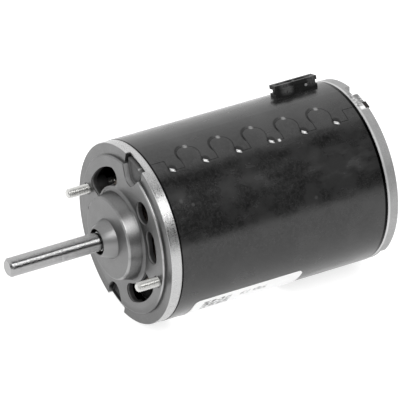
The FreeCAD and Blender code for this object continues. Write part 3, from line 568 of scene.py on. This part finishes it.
bolt_data = ([], [])
for bolt_side in (0, math.pi):
    bolt_x = bolt_circle_radius * math.cos(bolt_angle + bolt_side)
    bolt_z = bolt_circle_radius * math.sin(bolt_angle + bolt_side)
    for part_rings in (bolt_rings(), hexagon_rings()):
        add_rings(bolt_data, part_rings, bolt_x, bolt_z)
bolts = new_piece(
    "threaded_bolts", bolt_data, plated.material,
    lambda polygon: len(polygon.vertices) == 4 and polygon.area < largest_round_face)
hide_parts("through_bolts")
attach(bolts, "housing")


# Output shaft: 5/16 inch steel bar, ground bright, plain and round, with a chamfered end and
# a grinding relief at the nose. Inside the nose hole, out of sight, it steps down to the
# quarter inch of the solid part, which runs in the bearings and carries the core.

ground = Finish("ground_steel", Metallic=1.0, Base_Color=grey(0.34))
grind_lines = ground.rings(0.06 * MM)
ground.set(Roughness=0.16 + grind_lines * 0.06)
ground.raise_by(grind_lines, 0.028 * MM)

shaft_low, shaft_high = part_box("shaft")
shaft_tip = shaft_low.y
shaft_end = shaft_high.y
shaft_segments = 72
bar_radius = 3.97 * MM
tip_bevel = 0.9 * MM
relief_front = -11.6 * MM
relief_rear = -10.6 * MM
relief_radius = bar_radius - 0.25 * MM
step_down = -7.7 * MM
journal_radius = 3.175 * MM
end_bevel = 0.6 * MM
shaft_profile = [
    (shaft_tip, bar_radius - tip_bevel), (shaft_tip + tip_bevel, bar_radius),
    (relief_front, bar_radius), (relief_front, relief_radius),
    (relief_rear, relief_radius), (relief_rear, bar_radius),
    (step_down, bar_radius), (step_down, journal_radius),
    (shaft_end - end_bevel, journal_radius), (shaft_end, journal_radius - end_bevel)]
shaft_data = ([], [])
add_rings(shaft_data, [(y, [radius] * shaft_segments) for y, radius in shaft_profile])
output_shaft = new_piece("output_shaft", shaft_data, ground.material)
output_shaft.data.set_sharp_from_angle(angle=math.radians(25))
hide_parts("shaft")
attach(output_shaft, "armature")


# Notch plugs: dark moulded inserts, one in each of the front bell's two rim notches. Each is
# domed a little, with a bead round its edge, and leaves a narrow gap to the thin rim. The
# upper one has a small painted highlight, and the lower one is painted darker as shade.

plug_finish = Finish("dark_plug", Specular_IOR_Level=0.4)
plug_grain = plug_finish.noise(0.9 * MM, 3.0)
# Painted highlight: a small light spot on the upper plug.
from_plug_glint = ((plug_finish.x - 9.6 * MM) ** 2 + (plug_finish.z - 34.3 * MM) ** 2) ** 0.5
plug_glint = from_plug_glint.below(0.4 * MM, 0.35 * MM)
# Painted shade: the lower plug is darker and dull.
lower_plug_shade = plug_finish.z.below(0, 5 * MM)
plug_colour = plug_finish.mixed(plug_grain, grey(0.045), grey(0.080))
plug_finish.set(
    Base_Color=plug_finish.mixed(
        plug_glint, plug_finish.mixed(lower_plug_shade, plug_colour, grey(0.02)), grey(0.35)),
    Metallic=lower_plug_shade,
    Roughness=0.42 + plug_grain * 0.15,
)
plug_finish.raise_by(plug_grain, 0.02 * MM)

plug_angle = math.radians(78.8)
plug_floor_radius = 26.45 * MM
plug_floor_round = 3.95 * MM
plug_mouth_radius = 36.0 * MM
plug_half_width = 6.05 * MM
plug_middle = (plug_floor_radius + plug_mouth_radius) / 2
plug_crown_depth = 2.25 * MM
# Share of the outline and depth behind the mounting face, from the back to the crown
plug_profile = (
    (1.0, 6.0 * MM), (1.0, 2.8 * MM), (0.985, 2.4 * MM), (0.95, 2.2 * MM), (0.89, 2.1 * MM),
    (0.84, 2.3 * MM), (0.79, 2.75 * MM), (0.74, 2.8 * MM), (0.65, 2.65 * MM),
    (0.5, 2.45 * MM), (0.25, 2.3 * MM))


def plug_outline():
    """Points round the plug, radial and across: straight sides, round floor, arched mouth."""
    floor_centre = plug_floor_radius + plug_floor_round
    rise = plug_mouth_radius - floor_centre
    tangent = (math.atan2(plug_half_width, rise)
               + math.acos(plug_floor_round / math.hypot(rise, plug_half_width)))
    floor_steps, mouth_steps = 24, 12
    points = []
    for step in range(floor_steps + 1):
        angle = tangent + (math.tau - 2 * tangent) * step / floor_steps
        points.append((floor_centre + plug_floor_round * math.cos(angle),
                       plug_floor_round * math.sin(angle)))
    for step in range(mouth_steps + 1):
        across = plug_half_width * (2 * step / mouth_steps - 1)
        points.append((math.sqrt(plug_mouth_radius ** 2 - across ** 2), across))
    return points


outline = plug_outline()
count = len(outline)
for plug_name, half_turn in (("notch_plug_upper", 0.0), ("notch_plug_lower", math.pi)):
    radial = Vector((math.cos(plug_angle + half_turn), 0, math.sin(plug_angle + half_turn)))
    sideways = Vector((-radial.z, 0, radial.x))
    plug_points, plug_faces = [], []
    for share, plug_depth in plug_profile:
        for out, across in outline:
            plug_points.append(radial * (plug_middle + (out - plug_middle) * share)
                               + sideways * across * share + Vector((0, plug_depth, 0)))
    for row in range(len(plug_profile) - 1):
        for k in range(count):
            a = row * count + k
            b = row * count + (k + 1) % count
            plug_faces.append((a, b, b + count, a + count))
    plug_faces.append(tuple(range(count - 1, -1, -1)))
    plug_points.append(radial * plug_middle + Vector((0, plug_crown_depth, 0)))
    last = (len(plug_profile) - 1) * count
    for k in range(count):
        plug_faces.append((last + k, last + (k + 1) % count, len(plug_points) - 1))
    plug = new_piece(plug_name, (plug_points, plug_faces), plug_finish.material)
    plug.data.set_sharp_from_angle(angle=math.radians(60))
    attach(plug, "housing")


# Magnets: two arcs of dark sintered ferrite, pressed and fired, then ground on their inner
# and outer faces. They lie against the shell's bore.

ferrite = Finish("ferrite", Metallic=0.0)
ferrite_grain = ferrite.noise(0.6 * MM, 3.0)
ferrite.mottle(ferrite_grain, grey(0.09), grey(0.14), 0.55, 0.2)
ferrite.raise_by(ferrite_grain, 0.02 * MM)
ferrite.put_on("magnet_upper", "magnet_lower")


# Channels and retainers: bent and stamped from spring steel. The channels stand between the
# magnets' ends and press them apart, and the retainers hold the bearings in their pockets.

sprung = Finish("spring_steel", Metallic=1.0)
sprung.mottle(sprung.noise(3 * MM, 3.0), grey(0.30), grey(0.42), 0.32, 0.12)
sprung.put_on("magnet_spring_right", "magnet_spring_left", "front_bearing_retainer",
              "rear_bearing_retainer")


# Sleeve bearings: balls of sintered bronze, full of oil, that align themselves in their
# pockets. A ring of wool felt round each one holds more oil.

bronze = Finish("sintered_bronze", Metallic=1.0)
bronze.mottle(bronze.noise(0.4 * MM, 3.0), (0.30, 0.20, 0.11, 1), (0.46, 0.32, 0.17, 1),
              0.38, 0.2)
bronze.put_on("front_bearing", "rear_bearing")

felt = Finish("oil_felt", Metallic=0.0)
fibre = felt.noise(0.35 * MM, 4.0)
felt.mottle(fibre, (0.30, 0.25, 0.16, 1), (0.52, 0.45, 0.32, 1), 0.85, 0.1)
felt.raise_by(fibre, 0.12 * MM)
felt.put_on("front_oil_felt", "rear_oil_felt")


# Armature core: a stack of thin steel laminations, pressed on the shaft, with insulators of
# pressed board at its ends.

stack = Finish("laminations", Metallic=1.0)
edge_lines = stack.rings(0.5 * MM, 1.0)
stack.mottle(edge_lines, grey(0.16), grey(0.34), 0.40, 0.15)
stack.raise_by(edge_lines, 0.05 * MM)
stack.put_on("armature_core")

board = Finish("pressed_board", Metallic=0.0)
board.mottle(board.noise(0.8 * MM, 4.0), (0.33, 0.21, 0.10, 1), (0.46, 0.32, 0.17, 1),
             0.6, 0.15)
board.put_on("core_insulators")


# Winding: enamelled copper wire, wound through the core's slots and dipped in varnish, which
# has dulled it and bound its turns together.

wound = Finish("varnished_wire", Metallic=0.1, Coat_Weight=0.4, Coat_Roughness=0.2)
# Radians of the wave for each degree round the axis and each millimetre along it
wave_per_degree = 0.9
wave_per_millimetre = 10 / 3
wave = wound.angle() * wave_per_degree + wound.y / MM * wave_per_millimetre
strand = wave.through("SINE", wave) * 0.5 + 0.5
wound_cloud = wound.noise(4 * MM, 3.0)
wound.set(Base_Color=wound.mixed(strand * 0.6 + wound_cloud * 0.4,
                                 (0.17, 0.14, 0.115, 1), (0.30, 0.255, 0.215, 1)),
          Roughness=0.34 + wound_cloud * 0.12)
wound.raise_by(strand, 0.2 * MM)
wound.put_on("armature_winding")


# Commutator and brush card: twelve turned copper bars moulded into a hub of dark phenolic,
# which is pressed on the shaft. The card is of the same phenolic and carries the brush gear.

copper = Finish("turned_copper", Metallic=1.0)
copper.mottle(copper.noise(2 * MM, 3.0), (0.50, 0.22, 0.12, 1), (0.72, 0.36, 0.22, 1),
              0.25, 0.12)
copper.put_on("commutator_bars")

moulded = Finish("phenolic", Specular_IOR_Level=0.2)
moulded.mottle(moulded.noise(0.7 * MM, 3.0), (0.008, 0.007, 0.006, 1),
               (0.020, 0.016, 0.014, 1), 0.42, 0.12)
moulded.put_on("commutator_hub", "brush_card")


# Spacers and thrust washers: natural nylon, moulded and stamped. They sit on the shaft
# between the core and the bearings and take up its end play.

nylon = Finish("natural_nylon", Metallic=0.0)
nylon.mottle(nylon.noise(3 * MM), (0.60, 0.57, 0.48, 1), (0.72, 0.69, 0.60, 1), 0.38, 0.08)
nylon.put_on("front_spacer", "rear_spacer", "thrust_washers")


# Brushes and holders: blocks of pressed carbon that slide in boxes folded from brass strip,
# which are fixed to the brush card.

carbon = Finish("brush_carbon", Metallic=0.0)
carbon.mottle(carbon.noise(0.3 * MM, 3.0), grey(0.02), grey(0.05), 0.45, 0.15)
carbon.put_on("brush_upper", "brush_lower")

brass = Finish("pressed_brass", Metallic=1.0)
brass.mottle(brass.noise(2.5 * MM, 3.0), (0.55, 0.40, 0.16, 1), (0.72, 0.56, 0.26, 1),
             0.24, 0.12)
brass.put_on("brush_holder_upper", "brush_holder_lower")


# Brush springs and shunts: a coil of spring steel wire between each brush and the cap of its
# holder, with the brush's bare copper pigtail twisted inside it. Both hang from the cap; here
# they are built once, at the full height of the spring's box, and ride with the housing.

spring_wire = 0.28 * MM
spring_turns = 4.5
shunt_wire = 0.26 * MM
shunt_strands = 3
shunt_twist = 3
shunt_strand_offset = shunt_wire * 0.95
steps_per_turn = 20


def add_coil(mesh_data, low, high, coil_radius, wire_radius, turns, first_angle, sides):
    """Wire wound round a line along z between two corners' heights, closed at its ends."""
    points, faces = mesh_data
    first = len(points)
    centre = (low + high) / 2
    rise = high.z - low.z - 2 * wire_radius
    steps = round(turns * steps_per_turn)
    lean = math.atan2(rise, math.tau * turns * coil_radius)
    for step in range(steps + 1):
        angle = first_angle + math.tau * turns * step / steps
        outward = Vector((math.cos(angle), math.sin(angle), 0))
        around = Vector((-math.sin(angle), math.cos(angle), 0))
        up = Vector((0, 0, math.cos(lean))) - around * math.sin(lean)
        height = low.z + wire_radius + rise * step / steps
        middle = Vector((centre.x, centre.y, height)) + outward * coil_radius
        for k in range(sides):
            turn = math.tau * k / sides
            points.append(
                middle + (outward * math.cos(turn) + up * math.sin(turn)) * wire_radius)
    for row in range(steps):
        for k in range(sides):
            a = first + row * sides + k
            b = first + row * sides + (k + 1) % sides
            faces.append((a, a + sides, b + sides, b))
    last = first + steps * sides
    faces.append(tuple(range(first, first + sides)))
    faces.append(tuple(range(last + sides - 1, last - 1, -1)))


for side, cap_is_above in (("upper", True), ("lower", False)):
    low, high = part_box("brush_spring_" + side)
    spring_data = ([], [])
    add_coil(spring_data, low, high, (high.x - low.x) / 2 - spring_wire, spring_wire,
             spring_turns, 0.0, sides=8)
    spring = new_piece("coil_spring_" + side, spring_data, sprung.material)
    shunt_data = ([], [])
    for k in range(shunt_strands):
        add_coil(shunt_data, low, high, shunt_strand_offset, shunt_wire, shunt_twist,
                 k * math.tau / shunt_strands, sides=6)
    shunt = new_piece("twisted_shunt_" + side, shunt_data, copper.material)
    for piece, stands_for, slot in ((spring, "brush_spring_", "spring_steel"),
                                    (shunt, "brush_shunt_", "copper")):
        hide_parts(stands_for + side)
        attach(piece, "housing")
        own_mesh(piece)


# Connector: black moulded nylon, seated in a slot of the shell. Painted highlights make its
# side faces slightly grey at both ends.

black = Finish("black_moulding", Specular_IOR_Level=0.12)
black_grain = black.noise(0.8 * MM, 3.0)
side_face = black.radius().above(39.5 * MM, 1.0 * MM)
ends = (black.y.within(80 * MM, 84.5 * MM, 1.2 * MM)
        + black.y.within(93 * MM, 96.5 * MM, 1 * MM))
# Painted highlights: grey patches on the side faces near both ends.
end_highlights = ends * side_face * black_grain.above(0.4, 0.2)
black_colour = black.mixed(black_grain, grey(0.008), grey(0.018))
black.set(Base_Color=black.mixed(end_highlights, black_colour, grey(0.07)),
          Roughness=0.34 + black_grain * 0.15)
black.raise_by(black_grain, 0.01 * MM)
black.put_on("connector_body")


# Connector blades: stamped from brass and tinned, and pushed into the moulding. A locking
# tang shows in a window of it.

tinned = Finish("tinned_brass", Metallic=1.0)
tinned.mottle(tinned.noise(1.2 * MM, 3.0), grey(0.62), grey(0.80), 0.3, 0.1)
tinned.put_on("connector_terminals")


# Leads: stranded copper in black rubbery cover, inside the motor, from each blade to its
# brush holder.

cover = Finish("lead_cover", Metallic=0.0)
cover.mottle(cover.noise(2 * MM, 3.0), grey(0.012), grey(0.028), 0.5, 0.1)
cover.put_on("lead_to_upper_holder", "lead_to_lower_holder")


# Rating label: coated white stock, stuck low on the shell. Three fields of grey rows stand
# on it in place of print.

label = Finish("label_stock", Metallic=0.0)
label_cloud = label.noise(12 * MM)
label_angle = label.angle()
label_rows = label.noise(1.1 * MM, 1.0, (1, 1.8, 0.5)).above(0.5, 0.06)
wide_field = label.y.within(20 * MM, 33 * MM, 0.2 * MM) * label_angle.within(-45, -33.5, 0.4)
small_fields = ((label.y.within(37.5 * MM, 42 * MM, 0.2 * MM)
                 + label.y.within(43.5 * MM, 50 * MM, 0.2 * MM))
                * label_angle.within(-39.5, -34.5, 0.4) * 0.7)
fields = (wide_field + small_fields) * label_rows
paper = label.mixed(label_cloud, grey(0.80), grey(0.88))
label.set(Base_Color=label.mixed(fields, paper, grey(0.13)),
          Roughness=0.45 + label_cloud * 0.08)
label.put_on("rating_label")
